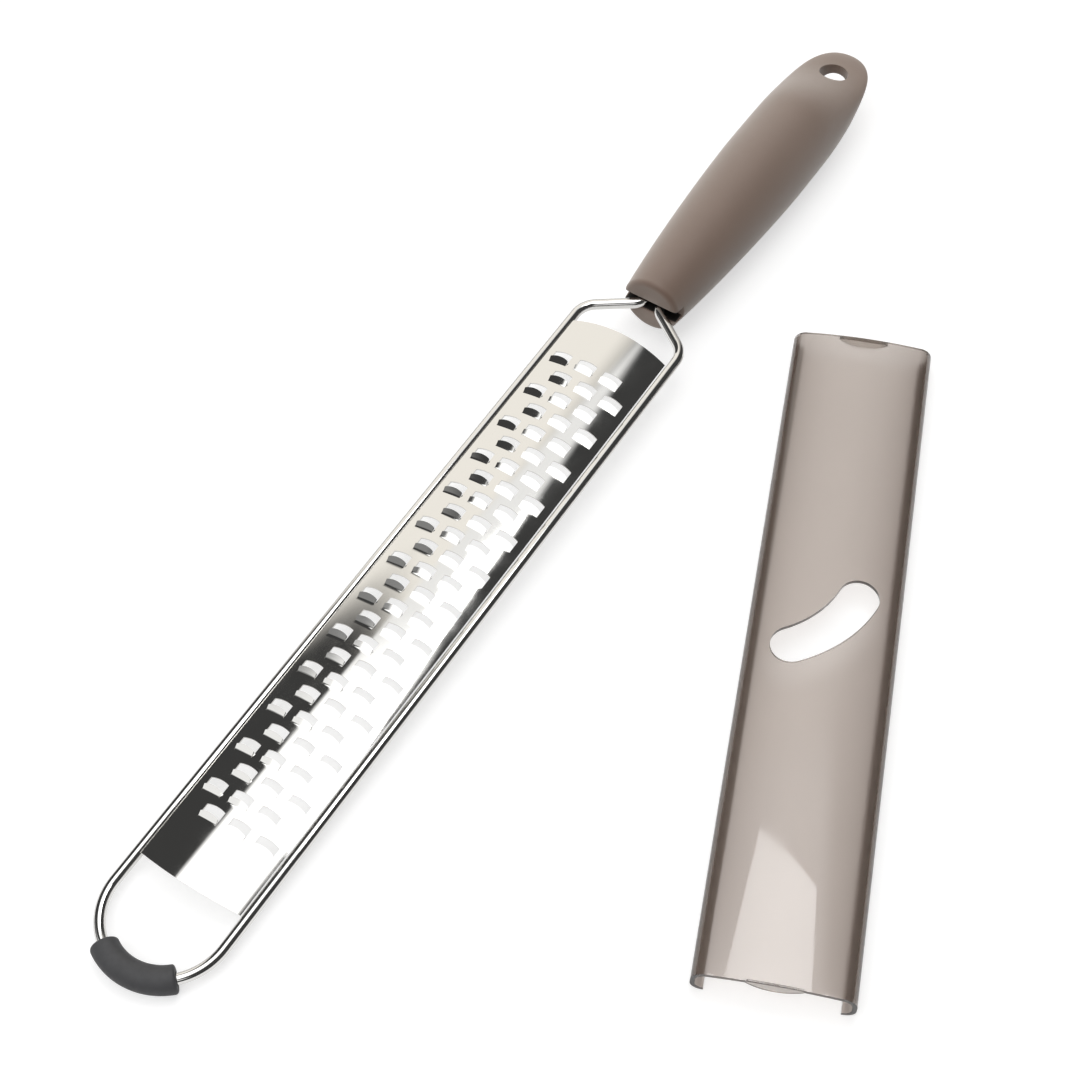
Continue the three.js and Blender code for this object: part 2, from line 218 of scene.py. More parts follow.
class StageSettings(bpy.types.PropertyGroup):
    floor_colour: colour("Table", "Colour of the table", "BCBCBC")
    floor_glow: number("Glow", "Of the table towards the eye, so that it is white and its shadows are faint", 0.62)
    lamp: number("Lamp", "Strength of the lamp that the cover mirrors", 5.5)
    softbox: number("Softbox", "Strength of the broad soft light overhead", 1.9)
    ceiling_light: number("Ceiling", "Strength of the pale ceiling behind the soft light", 1.15)
    wall_light: number("Walls", "Strength of the pale walls behind and in front", 1.2)
    door_light: number("Door", "Strength of the dim door in front", 0.3)
    room_light: number("Room", "Strength of the dark part of the room", 0.06)


class GraterSettings(bpy.types.PropertyGroup):
    wire: bpy.props.PointerProperty(name="Wire frame", description="Bent wire frame", type=WireSettings)
    foot: bpy.props.PointerProperty(name="Foot", description="Rubber foot on the loop", type=FootSettings)
    blade: bpy.props.PointerProperty(name="Blade", description="Toothed blade", type=BladeSettings)
    handle: bpy.props.PointerProperty(name="Handle", description="Grip and core", type=HandleSettings)
    cover: bpy.props.PointerProperty(name="Cover", description="Slide-on cover", type=CoverSettings)
    stage: bpy.props.PointerProperty(name="Stage", description="Table and light", type=StageSettings)


# Shapes


def arc_radius(half_chord, rise):
    return (half_chord ** 2 + rise ** 2) / (2 * rise)


def arc(centre, radius, start, end, steps):
    """Points of an arc in a plane, from one angle to another."""
    angles = [start + (end - start) * i / steps for i in range(steps + 1)]
    return [Vector((centre[0] + radius * math.cos(a), centre[1] + radius * math.sin(a))) for a in angles]


def bezier(points, steps):
    """Points along a Bezier curve, its first point left out."""
    found = []
    for i in range(1, steps + 1):
        level = [Vector(p) for p in points]
        while len(level) > 1:
            level = [a.lerp(b, i / steps) for a, b in zip(level, level[1:])]
        found.append(level[0])
    return found


def rounded_corner(before, corner, after, radius, steps):
    """Points of a bend where two straight stretches meet at a corner."""
    back, ahead = (before - corner).normalized(), (after - corner).normalized()
    half_open = back.angle(ahead) / 2
    centre = corner + (back + ahead).normalized() * (radius / math.sin(half_open))
    start = corner + back * (radius / math.tan(half_open)) - centre
    end = corner + ahead * (radius / math.tan(half_open)) - centre
    sweep = start.angle_signed(end)
    turned = [Matrix.Rotation(-sweep * i / steps, 2) @ start for i in range(steps + 1)]
    return [centre + point for point in turned]


def rings_along(path, radii, sides):
    """Rings of points round a path that lies in the XY plane."""
    rings = []
    for i, point in enumerate(path):
        ahead = path[min(i + 1, len(path) - 1)] - path[max(i - 1, 0)]
        side = Vector((ahead.y, -ahead.x, 0)).normalized()
        centre = Vector((point.x, point.y, 0))
        ring = []
        for j in range(sides):
            angle = 2 * math.pi * j / sides
            ring.append(centre + radii[i] * (math.cos(angle) * side + math.sin(angle) * Vector((0, 0, 1))))
        rings.append(ring)
    return rings


def skin(rings, closed=False, caps=False):
    """Vertices and faces of a surface through rings with equally many points."""
    sides = len(rings[0])
    vertices = [point for ring in rings for point in ring]
    faces = []
    for i in range(len(rings) if closed else len(rings) - 1):
        a, b = i * sides, (i + 1) % len(rings) * sides
        for j in range(sides):
            k = (j + 1) % sides
            faces.append((a + j, a + k, b + k, b + j))
    if caps:
        last = (len(rings) - 1) * sides
        faces.append(tuple(reversed(range(sides))))
        faces.append(tuple(last + j for j in range(sides)))
    return vertices, faces


def prism(outline, height):
    """Vertices and faces of a flat outline, extruded along Z and centred on it."""
    rings = [[Vector((p.x, p.y, z)) for p in outline] for z in (-height / 2, height / 2)]
    return skin(rings, caps=True)


def box(low, high):
    """Vertices and faces of a block between two corners."""
    outline = [Vector((low[0], low[1])), Vector((high[0], low[1])), Vector((high[0], high[1])), Vector((low[0], high[1]))]
    vertices, faces = prism(outline, high[2] - low[2])
    middle = Vector((0, 0, (low[2] + high[2]) / 2))
    return [v + middle for v in vertices], faces


def add_mesh(name, vertices, faces, place=Matrix.Identity(4)):
    """A new object whose mesh already lies in the part's frame, with its faces pointing out."""
    mesh = bpy.data.meshes.new(name)
    mesh.from_pydata([place @ v for v in vertices], [], faces)
    work = bmesh.new()
    work.from_mesh(mesh)
    bmesh.ops.remove_doubles(work, verts=work.verts, dist=1e-7)
    bmesh.ops.recalc_face_normals(work, faces=work.faces)
    work.to_mesh(mesh)
    work.free()
    made = bpy.data.objects.new(name, mesh)
    bpy.context.scene.collection.objects.link(made)
    return made


def cut_or_join(piece, other, operation):
    """Cuts another object out of a piece, or joins it on, and removes the other."""
    modifier = piece.modifiers.new(operation.title(), "BOOLEAN")
    modifier.operation = operation
    modifier.object = other
    modifier.solver = "EXACT"
    settle(piece)
    bpy.data.objects.remove(other)


def round_edges(piece, width, segments=3, angle=35):
    """Rounds every edge that is sharper than an angle."""
    modifier = piece.modifiers.new("Edges", "BEVEL")
    modifier.width = width
    modifier.segments = segments
    modifier.limit_method = "ANGLE"
    modifier.angle_limit = math.radians(angle)
    modifier.use_clamp_overlap = True
    settle(piece)


def settle(piece):
    """Applies a piece's modifiers to its mesh."""
    graph = bpy.context.evaluated_depsgraph_get()
    mesh = bpy.data.meshes.new_from_object(piece.evaluated_get(graph))
    piece.modifiers.clear()
    piece.data = mesh


def dress(piece, node, material, sharp=40):
    """Shades a piece, gives it its material and seats it on the body of the node that it replaces."""
    piece.data.shade_smooth()
    piece.data.set_sharp_from_angle(angle=math.radians(sharp))
    piece.data.materials.clear()
    piece.data.materials.append(material)
    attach(piece, frame["nodes"][node]["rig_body"])
    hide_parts(node)


# Places that several pieces share


def shoulder_y(wire):
    return wire.spacing / 2 + wire.run_length


def neck_y(wire):
    return shoulder_y(wire) + (wire.spacing - wire.tail_spacing) / 2 * math.tan(wire.shoulder_angle)


def frame_place(grater):
    """Place of the flat wire frame: its loop lies on the foot, and its neck is as high as the handle's axis."""
    low = grater.wire.diameter / 2 + SEAT_GAP + grater.foot.wall - grater.foot.pad_depth
    pitch = math.asin((grater.handle.belly_radius - low) / neck_y(grater.wire))
    return Matrix.Translation((0, 0, low)) @ Matrix.Rotation(pitch, 4, "X"), pitch


def handle_place(grater):
    pitch = frame_place(grater)[1]
    return Matrix.Translation((0, neck_y(grater.wire) * math.cos(pitch), grater.handle.belly_radius))


def blade_length(grater):
    return shoulder_y(grater.wire) - grater.blade.setback - grater.blade.headroom


def loop_arc(wire, half_angle, middle, steps):
    radius = wire.spacing / 2
    angles = [middle + half_angle * (2 * i / steps - 1) for i in range(steps + 1)]
    return [Vector((radius * math.sin(a), radius * (1 - math.cos(a)))) for a in angles]


# Materials


def add(tree, kind, inputs=None, **settings):
    """Adds a node with its settings, its input values and the links into it."""
    node = tree.nodes.new(kind)
    for name, value in settings.items():
        setattr(node, name, value)
    for key, value in (inputs or {}).items():
        if isinstance(value, bpy.types.NodeSocket):
            tree.links.new(value, node.inputs[key])
        else:
            node.inputs[key].default_value = value
    return node


def start_material(name, **values):
    """A new material with one Principled shader, whose constant inputs are given by name."""
    material = bpy.data.materials.new(name)
    material.use_nodes = True
    tree = material.node_tree
    tree.nodes.clear()
    shader = add(tree, "ShaderNodeBsdfPrincipled", {key.replace("_", " "): value for key, value in values.items()})
    add(tree, "ShaderNodeOutputMaterial", {"Surface": shader.outputs["BSDF"]})
    return material, tree, shader


def pattern(tree, spacing, low=0.0, high=1.0, detail=2.0):
    """Noise in the part's frame, spread from low to high, with its spacing in metres along X, Y and Z."""
    place = add(tree, "ShaderNodeTexCoord")
    scaled = add(
        tree, "ShaderNodeMapping", {"Vector": place.outputs["Object"], "Scale": [1 / s for s in spacing]}
    )
    noise = add(tree, "ShaderNodeTexNoise", {"Vector": scaled.outputs["Vector"], "Scale": 1.0, "Detail": detail})
    spread = {"Value": noise.outputs["Fac"], "From Min": 0.3, "From Max": 0.7, "To Min": low, "To Max": high}
    return add(tree, "ShaderNodeMapRange", spread).outputs["Result"]


def mottled(tree, tint, spread, spacing):
    """A tint that drifts a little lighter and darker over the surface."""
    drift = pattern(tree, (spacing,) * 3, 1 - spread, 1 + spread)
    return add(
        tree, "ShaderNodeVectorMath", {0: tint[:3], "Scale": drift}, operation="SCALE"
    ).outputs["Vector"]


def wire_steel(tint):
    """Drawn stainless wire, polished: a bright mirror, a little softened by draw lines along it."""
    material, tree, shader = start_material("drawn_stainless_wire_polished", Base_Color=tint, Metallic=1.0)
    smudge = pattern(tree, (9 * MM,) * 3, 0.05, 0.1)
    lines = pattern(tree, (0.3 * MM, 20 * MM, 0.3 * MM))
    bump = add(tree, "ShaderNodeBump", {"Height": lines, "Strength": 0.04, "Distance": 0.02 * MM})
    tree.links.new(smudge, shader.inputs["Roughness"])
    tree.links.new(bump.outputs["Normal"], shader.inputs["Normal"])
    return material


def blade_steel(tint):
    """Cold-rolled stainless sheet, mirror polished: near-perfect reflections with faint rolling lines
    along the blade and slight smudges. The lines are drawn coarser than the real ones, to show."""
    material, tree, shader = start_material("stainless_sheet_mirror_polished", Base_Color=tint, Metallic=1.0)
    smudge = pattern(tree, (6 * MM, 11 * MM, 6 * MM), 0.035, 0.09, 3.0)
    lines = pattern(tree, (0.35 * MM, 25 * MM, 0.35 * MM))
    bump = add(tree, "ShaderNodeBump", {"Height": lines, "Strength": 0.025, "Distance": 0.02 * MM})
    tree.links.new(smudge, shader.inputs["Roughness"])
    tree.links.new(bump.outputs["Normal"], shader.inputs["Normal"])
    return material


def foot_rubber(tint):
    """Thermoplastic rubber, moulded in a spark-eroded tool: dull, with a fine even grain."""
    material, tree, shader = start_material("thermoplastic_rubber_moulded_matt", IOR=1.5)
    tree.links.new(mottled(tree, tint, 0.05, 5 * MM), shader.inputs["Base Color"])
    tree.links.new(pattern(tree, (1.5 * MM,) * 3, 0.55, 0.68), shader.inputs["Roughness"])
    grit = pattern(tree, (0.25 * MM,) * 3)
    bump = add(tree, "ShaderNodeBump", {"Height": grit, "Strength": 0.12, "Distance": 0.02 * MM})
    tree.links.new(bump.outputs["Normal"], shader.inputs["Normal"])
    return material


def grip_soft_touch(tint):
    """Soft-touch elastomer moulded over plastic: soft and dull, with a painted sheen that mixes a pale tint into its
    base colour where it is seen at a slant, and a fine moulded grain that is drawn a little coarser than the real one."""
    material, tree, shader = start_material(
        "soft_touch_elastomer_moulded", IOR=1.48, Sheen_Weight=0.5, Sheen_Roughness=0.3
    )
    # painted sheen: a pale tint is mixed into the base colour where the grip is seen at a slant, on top of the shader's
    # own sheen
    slant = add(tree, "ShaderNodeLayerWeight", {"Blend": 0.2}).outputs["Facing"]
    painted_sheen_mix = add(
        tree, "ShaderNodeMix", {0: slant, 6: mottled(tree, tint, 0.025, 14 * MM), 7: linear("EEE4DC")}, data_type="RGBA"
    )
    tree.links.new(painted_sheen_mix.outputs[2], shader.inputs["Base Color"])
    tree.links.new(pattern(tree, (3 * MM,) * 3, 0.52, 0.62), shader.inputs["Roughness"])
    grit = pattern(tree, (0.3 * MM,) * 3)
    bump = add(tree, "ShaderNodeBump", {"Height": grit, "Strength": 0.07, "Distance": 0.02 * MM})
    tree.links.new(bump.outputs["Normal"], shader.inputs["Normal"])
    return material


def core_plastic(tint):
    """Black polypropylene, moulded plain: dark, with a low satin shine."""
    material, tree, shader = start_material("black_polypropylene_moulded", IOR=1.49)
    tree.links.new(mottled(tree, tint, 0.1, 4 * MM), shader.inputs["Base Color"])
    tree.links.new(pattern(tree, (2 * MM,) * 3, 0.42, 0.55), shader.inputs["Roughness"])
    return material


def cover_plastic(cover, half_width):
    """Smoke-tinted styrene copolymer, moulded glossy outside and matt inside: sharp reflections, a blurred view of what
    lies behind, a tint that grows with the length of plastic that the light passes, and a tint darkened towards the
    sides for thicker plastic and painted shade."""
    material, tree, shader = start_material("smoked_styrene_moulded_glossy", IOR=1.57, Transmission_Weight=1.0)
    # painted shade, with thicker plastic: the tint darkens from the middle of the top to the sides
    across = add(
        tree, "ShaderNodeMapping",
        {
            "Vector": add(tree, "ShaderNodeTexCoord").outputs["Object"],
            "Location": (cover.place_x, cover.place_y, 0),
            "Rotation": (0, 0, cover.yaw),
            "Scale": (half_width, 1, 1),
        },
        vector_type="TEXTURE",
    )
    x = add(tree, "ShaderNodeSeparateXYZ", {"Vector": across.outputs["Vector"]}).outputs["X"]
    aside = add(tree, "ShaderNodeMath", {0: x, 1: x}, operation="MULTIPLY", use_clamp=True).outputs[0]
    side_shaded_tint = add(
        tree, "ShaderNodeMix", {0: aside, 6: (1, 1, 1, 1), 7: cover.side_tint_and_painted_shade}, data_type="RGBA"
    ).outputs[2]
    tree.links.new(side_shaded_tint, shader.inputs["Base Color"])
    # light leaves the plastic through its matt inside
    inside = add(tree, "ShaderNodeNewGeometry").outputs["Backfacing"]
    polish = pattern(tree, (7 * MM, 18 * MM, 7 * MM), 0.02, 0.06)
    tree.links.new(add(tree, "ShaderNodeMix", {0: inside, 2: polish, 3: 0.35}).outputs[0], shader.inputs["Roughness"])
    # lamps shine through the plastic, tinted by it
    passed = add(tree, "ShaderNodeBsdfTransparent", {"Color": linear("CDC4BC")})
    path = add(tree, "ShaderNodeLightPath")
    both = add(
        tree, "ShaderNodeMixShader",
        {0: path.outputs["Is Shadow Ray"], 1: shader.outputs["BSDF"], 2: passed.outputs["BSDF"]},
    )
    smoke = add(tree, "ShaderNodeVolumeAbsorption", {"Color": cover.colour, "Density": cover.density})
    output = next(n for n in tree.nodes if n.type == "OUTPUT_MATERIAL")
    tree.links.new(both.outputs["Shader"], output.inputs["Surface"])
    tree.links.new(smoke.outputs["Volume"], output.inputs["Volume"])
    return material


# Pieces


class GRATER_OT_wire_frame(bpy.types.Operator):
    """Sweeps the round wire along its loop, runs, shoulders and tails"""

    bl_idname = "grater.wire_frame"
    bl_label = "Wire frame"

    def execute(self, context):
        wire = context.scene.grater.wire
        half = wire.spacing / 2
        neck = Vector((wire.tail_spacing / 2, neck_y(wire)))
        tail = neck + Vector((0, wire.tail_length))
        shoulder = Vector((half, shoulder_y(wire)))
        start = Vector((half, half))
        right = [
            *rounded_corner(start, shoulder, neck, wire.shoulder_bend, 14),
            *rounded_corner(shoulder, neck, tail, wire.neck_bend, 14),
            tail,
        ]
        left = [Vector((-p.x, p.y)) for p in reversed(right)]
        path = [*left, *loop_arc(wire, math.pi / 2, 0, 72), *right]
        rings = rings_along(path, [wire.diameter / 2] * len(path), 28)
        place = frame_place(context.scene.grater)[0]
        piece = add_mesh("bent_wire", *skin(rings, caps=True), place)
        dress(piece, "wire_frame", wire_steel(wire.colour))
        return {"FINISHED"}


class GRATER_OT_end_foot(bpy.types.Operator):
    """Moulds the rubber sleeve round the middle of the loop"""

    bl_idname = "grater.end_foot"
    bl_label = "End foot"

    def execute(self, context):
        grater = context.scene.grater
        wire, foot = grater.wire, grater.foot
        bore = wire.diameter / 2 + SEAT_GAP
        outer = bore + foot.wall
        loop = wire.spacing / 2
        quarter = [math.pi / 2 * i / 6 for i in range(7)]
        ends = [(foot.lip * (1 - math.sin(q)) / loop, outer - foot.lip * (1 - math.cos(q))) for q in reversed(quarter)]
        along = [(-foot.half_angle + a, r) for a, r in ends]
        steps = 40
        flat = foot.half_angle - foot.lip / loop
        along += [(-flat + 2 * flat * i / steps, outer) for i in range(1, steps)]
        along += [(foot.half_angle - a, r) for a, r in reversed(ends)]
        along += [(foot.half_angle - 2 * foot.half_angle * i / steps, bore) for i in range(steps + 1)]
        rings = []
        for angle, radius in along:
            a = angle + foot.middle_turn
            centre = Vector((loop * math.sin(a), loop * (1 - math.cos(a)), 0))
            side = Vector((math.sin(a), -math.cos(a), 0))
            turns = [2 * math.pi * j / 40 for j in range(40)]
            rings.append([centre + radius * (math.cos(t) * side + math.sin(t) * Vector((0, 0, 1))) for t in turns])
        piece = add_mesh("rubber_foot", *skin(rings, closed=True), frame_place(grater)[0])
        # the flat pad: whatever hangs below the table is pressed up to it
        for vertex in piece.data.vertices:
            vertex.co.y = max(vertex.co.y, CAD_BOX[0][1])
            vertex.co.z = max(vertex.co.z, 0.0)
        dress(piece, "end_foot", foot_rubber(foot.colour), sharp=50)
        return {"FINISHED"}


class ArchedSheet:
    """Grid over the arched blade, built row by row from its foot end, with the teeth pressed up out of it."""

    CELLS = 10  # across one column spacing
    EDGE_CELLS = 5  # from the outermost holes to the edges
    NEAR_ROWS = 2
    TOOTH_ROWS = 8
    FAR_ROWS = 2
    END_ROWS = 8

    def __init__(self, blade, half_width, edge_height):
        self.blade = blade
        self.radius = arc_radius(half_width, blade.crown - edge_height)
        self.step = blade.column_spacing / self.CELLS
        self.half_cells = round(blade.hole_width / 2 / self.step)
        self.inner_cells = round((blade.columns - 1) / 2 * self.CELLS) + self.half_cells
        inner = self.inner_cells * self.step
        margin = [inner + (half_width - inner) * i / self.EDGE_CELLS for i in range(1, self.EDGE_CELLS + 1)]
        lines = [i * self.step for i in range(-self.inner_cells, self.inner_cells + 1)]
        self.across = [-x for x in reversed(margin)] + lines + margin
        self.tops, self.unders, self.faces = [], [], []
        self.slope = blade.rise / (blade.reach - blade.bend / 2)

    def vertex(self, x, y, lift):
        lean = math.asin(x / self.radius)
        for layer, height in ((self.tops, lift), (self.unders, lift - self.blade.thickness)):
            away = self.radius + height
            layer.append(Vector((away * math.sin(lean), y, self.blade.crown - self.radius + away * math.cos(lean))))
        return len(self.tops) - 1

    def tooth_share(self, line, strip):
        """Where a grid line crosses a tooth of this strip, from -1 to 1 at the hole's sides, or None."""
        cell = line - self.EDGE_CELLS - self.inner_cells
        for column in range((strip + 1) % 2, self.blade.columns, 2):
            share = (cell - (column - (self.blade.columns - 1) / 2) * self.CELLS) / self.half_cells
            if abs(share) <= 1:
                return share
        return None

    def offset(self, part, share, t):
        """Distance of a row from the middle of its strip."""
        blade = self.blade
        edge = blade.row_pitch / 4
        if part == "near":
            return -edge + (edge - blade.hinge) * share
        if part == "tooth":
            # rows crowd together in the bend
            return -blade.hinge + (blade.reach + (blade.corner_reach - blade.reach) * t * t) * share ** 1.7
        far = blade.far_middle + (blade.far_corner - blade.far_middle) * t * t
        return far + (edge - far) * share

    def lift(self, offset):
        """Height of a tooth over the sheet: a short round bend at the hinge line, then a straight slope."""
        bend = self.blade.bend
        run = offset + self.blade.hinge
        return self.slope * (run * run / (2 * bend) if run < bend else run - bend / 2)

    def add_row(self, part, share, middle, strip):
        """A row of the sheet, and of the teeth where they have left it."""
        sheet, teeth = [], {}
        pressed = part == "tooth" and share > 0
        for line, x in enumerate(self.across):
            t = self.tooth_share(line, strip)
            offset = self.offset(part, share, 1 if t is None else t)
            if pressed and t is not None:
                narrowed = x - math.copysign(self.blade.slit, t) if abs(t) == 1 else x
                teeth[line] = self.vertex(narrowed, middle + offset, self.lift(offset))
            inside = t is not None and abs(t) < 1
            sheet.append(None if pressed and inside else self.vertex(x, middle + offset, 0.0))
        return sheet, teeth, part

    def join_rows(self, low, high, strip):
        """Faces between two rows, left out where a hole is open."""
        for line in range(len(self.across) - 1):
            shares = [self.tooth_share(line + i, strip) for i in (0, 1)]
            in_tooth = None not in shares and shares[1] > shares[0]
            if in_tooth and low[1] and high[2] == "far":
                continue
            corners = []
            for row, order in ((low, (0, 1)), (high, (1, 0))):
                ids = row[1] if in_tooth and row[1] else row[0]
                corners += [ids[line + i] for i in order]
            self.faces.append(tuple(corners))

    def build(self, middle, end_at):
        """The whole sheet round its middle: end_at gives how far its ends reach on each line."""
        strips = 2 * self.blade.rows
        length = self.blade.row_pitch / 2
        first = middle + self.blade.tooth_shift - strips / 2 * length
        last = first + strips * length

        def plain_row(share, start, side):
            ys = [start + (middle + side * end_at(x) - start) * share for x in self.across]
            return [self.vertex(x, y, 0.0) for x, y in zip(self.across, ys)], {}, "near"

        rows = [(plain_row(1 - i / self.END_ROWS, first, -1), 0) for i in range(self.END_ROWS)]
        kinds = [("near", i / self.NEAR_ROWS) for i in range(self.NEAR_ROWS)]
        kinds += [("tooth", i / self.TOOTH_ROWS) for i in range(self.TOOTH_ROWS + 1)]
        kinds += [("far", i / self.FAR_ROWS) for i in range(self.FAR_ROWS)]
        for strip in range(strips):
            centre = first + (strip + 0.5) * length
            rows += [(self.add_row(part, share, centre, strip), strip) for part, share in kinds]
        rows += [(plain_row(i / self.END_ROWS, last, 1), strips - 1) for i in range(self.END_ROWS + 1)]
        for (low, strip), (high, _) in zip(rows, rows[1:]):
            self.join_rows(low, high, strip)
        return self.thickened()

    def thickened(self):
        """Both skins of the sheet, with walls round the holes, the teeth and the edges."""
        under = len(self.tops)
        sides = {}
        for face in self.faces:
            for a, b in zip(face, face[1:] + face[:1]):
                sides[a, b] = None
        walls = [(b, a, a + under, b + under) for a, b in sides if (b, a) not in sides]
        flipped = [tuple(i + under for i in reversed(face)) for face in self.faces]
        return self.tops + self.unders, self.faces + flipped + walls


class GRATER_OT_blade(bpy.types.Operator):
    """Presses the teeth out of the arched sheet, in columns that are staggered by half a pitch"""

    bl_idname = "grater.blade"
    bl_label = "Blade"

    def execute(self, context):
        grater = context.scene.grater
        blade = grater.blade
        seat = grater.wire.diameter / 2 + SEAT_GAP
        half_width = grater.wire.spacing / 2 - seat * math.sin(blade.seat_angle)
        edge_height = seat * math.cos(blade.seat_angle) + blade.thickness / 2
        half_length = blade_length(grater) / 2
        sheet = ArchedSheet(blade, half_width, edge_height)
        solid = sheet.build(
            blade.setback + half_length, lambda x: half_length - blade.end_bow * (x / half_width) ** 2
        )
        piece = add_mesh("toothed_blade", *solid, frame_place(grater)[0])
        dress(piece, "blade", blade_steel(blade.colour))
        return {"FINISHED"}


def lathe(outline, sides, press=None):
    """Rings of an outline of radius and distance, turned round Y."""
    rings = []
    for radius, y in outline:
        turns = [2 * math.pi * j / sides for j in range(sides)]
        ring = [Vector((radius * math.cos(t), y, -radius * math.sin(t))) for t in turns]
        rings.append([press(point) for point in ring] if press else ring)
    return rings


def core_outline(grater, growth=0.0):
    """Outline of the tapered core, grown by a gap for its seat in the grip."""
    handle = grater.handle
    front = handle.slot_depth + SEAT_GAP - growth
    back = grater.wire.tail_length + handle.core_end + growth
    wall = handle.grip_wall - growth
    return [(0, front), (handle.mouth_radius - wall, front), (handle.belly_radius - wall, back), (0, back)]


class GRATER_OT_grip(bpy.types.Operator):
    """Turns the soft grip, thins its tail, and cuts the slot, the bore and the hang hole"""

    bl_idname = "grater.grip"
    bl_label = "Handle grip"

    SIDES = 96
    STEPS = 44

    def execute(self, context):
        grater = context.scene.grater
        handle = grater.handle
        mouth, rim = handle.mouth_radius, handle.mouth_rim
        belly, at = handle.belly_radius, handle.belly_distance
        outline = [Vector((0, 0)), Vector((mouth / 2, 0)), Vector((mouth - rim, 0))]
        outline += bezier([(mouth - rim, 0), (mouth, 0), (mouth, rim)], 10)
        outline += bezier(
            [(mouth, rim), (handle.neck_fullness, rim + handle.neck_lead), (belly, at - handle.belly_lead), (belly, at)],
            self.STEPS,
        )
        end = handle.length
        outline += bezier(
            [(belly, at), (belly, at + handle.tail_lead), (handle.tail_fullness, end), (0, end)], self.STEPS
        )
        place = handle_place(grater)
        grip = add_mesh("soft_grip", *skin(lathe(outline, self.SIDES, self.pressed(handle))), place)
        wide = 2 * mouth
        low = (-wide, -handle.slot_depth, -handle.slot_height / 2)
        high = (wide, handle.slot_depth, handle.slot_height / 2)
        cut_or_join(grip, add_mesh("slot", *box(low, high), place), "DIFFERENCE")
        bore = skin(lathe(core_outline(grater, SEAT_GAP), self.SIDES))
        cut_or_join(grip, add_mesh("bore", *bore, place), "DIFFERENCE")
        ring = arc((0, end - handle.hole_inset), handle.hole_diameter / 2, 0, 2 * math.pi, 72)[:-1]
        cut_or_join(grip, add_mesh("hang_hole", *prism(ring, 4 * belly), place), "DIFFERENCE")
        round_edges(grip, handle.edge, angle=38)
        dress(grip, "handle_grip", grip_soft_touch(handle.colour), sharp=60)
        return {"FINISHED"}

    def pressed(self, handle):
        """How a point of the round body moves when the tail is pressed thin."""

        def thinned(from_end, start):
            share = min(1.0, max(0.0, (from_end - handle.thin_end) / (start - handle.thin_end)))
            return 1 - share * share * (3 - 2 * share)

        def press(point):
            from_end = handle.length - point.y
            sink = thinned(from_end, handle.top_start)
            rise = thinned(from_end, handle.under_start)
            thickness = 1 + (handle.tail_press - 1) * (sink if point.z > 0 else rise)
            point.z = point.z * thickness + handle.tail_lift * sink
            return point

        return press


class GRATER_OT_core(bpy.types.Operator):
    """Makes the hard core inside the grip, with the lining of the slot that shows in the mouth"""

    bl_idname = "grater.core"
    bl_label = "Handle core"

    LINING = 0.45 * MM  # thickness of the lining
    INSET = 0.5 * MM  # of the lining from the mouth

    def execute(self, context):
        grater = context.scene.grater
        handle = grater.handle
        place = handle_place(grater)
        core = add_mesh("core_plug", *skin(lathe(core_outline(grater), 64)), place)
        half = math.sqrt(handle.mouth_radius ** 2 - handle.slot_height ** 2 / 4) - self.INSET
        top = handle.slot_height / 2 - 0.02 * MM
        back = handle.slot_depth + 2 * SEAT_GAP
        for low, high in ((-top, self.LINING - top), (top - self.LINING, top)):
            slab = box((-half, self.INSET, low), (half, handle.slot_depth - 0.02 * MM, high))
            lining = add_mesh("lining", *slab, place)
            cut_or_join(core, lining, "UNION")
        neck = box((-handle.mouth_radius / 2, handle.slot_depth - SEAT_GAP, -top), (handle.mouth_radius / 2, back, top))
        cut_or_join(core, add_mesh("neck", *neck, place), "UNION")
        dress(core, "handle_core", core_plastic(handle.core_colour))
        return {"FINISHED"}


